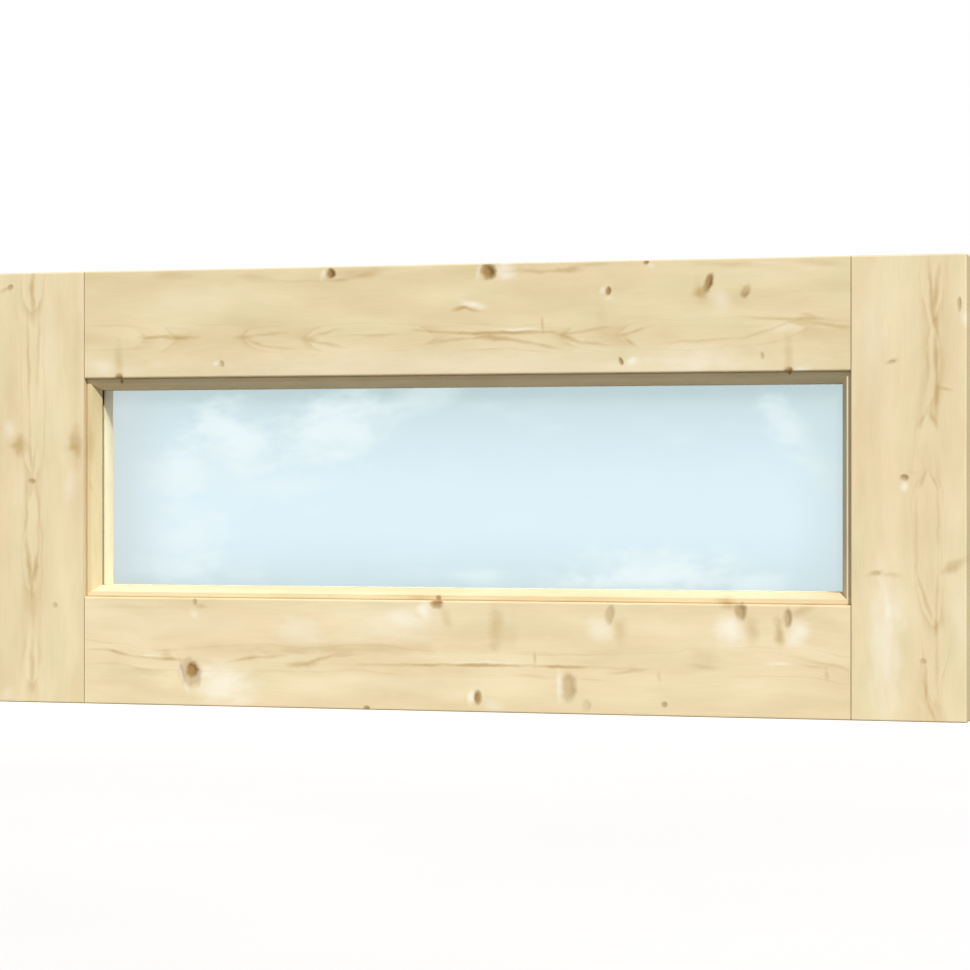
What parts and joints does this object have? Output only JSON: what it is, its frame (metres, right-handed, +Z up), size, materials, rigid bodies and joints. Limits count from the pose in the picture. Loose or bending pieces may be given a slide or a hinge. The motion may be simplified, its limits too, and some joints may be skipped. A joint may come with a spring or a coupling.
{
  "type": "fixed window",
  "caption": "Fixed softwood window: wide board frame, tenoned corners, one pane behind sloped mitred glazing beads.",
  "frame": {"origin": "under the middle of the bottom edge, in the middle of the frame's depth", "axes": "+X to the right as seen from the front, -Y out of the front with the beads, +Z up"},
  "size_m": [0.913, 0.047, 0.4],
  "materials": {
    "spruce": "planed and clear sealed, satin",
    "bead_spruce": "planed and clear sealed, satin",
    "glass": "clear float glass",
    "glazing_tape": "matte",
    "glazing_block": "matte"
  },
  "bodies": {
    "root": {"stile_left": "spruce", "stile_right": "spruce", "rail_top": "spruce", "rail_bottom": "spruce", "bead_top": "bead_spruce", "bead_bottom": "bead_spruce", "bead_left": "bead_spruce", "bead_right": "bead_spruce", "glass_pane": "glass", "tape_front_top": "glazing_tape", "tape_front_bottom": "glazing_tape", "tape_front_left": "glazing_tape", "tape_front_right": "glazing_tape", "tape_back_top": "glazing_tape", "tape_back_bottom": "glazing_tape", "tape_back_left": "glazing_tape", "tape_back_right": "glazing_tape", "block_bottom_left": "glazing_block", "block_bottom_right": "glazing_block", "block_top_left": "glazing_block", "block_top_right": "glazing_block", "block_side_left": "glazing_block", "block_side_right": "glazing_block"}
  },
  "joints": []
}
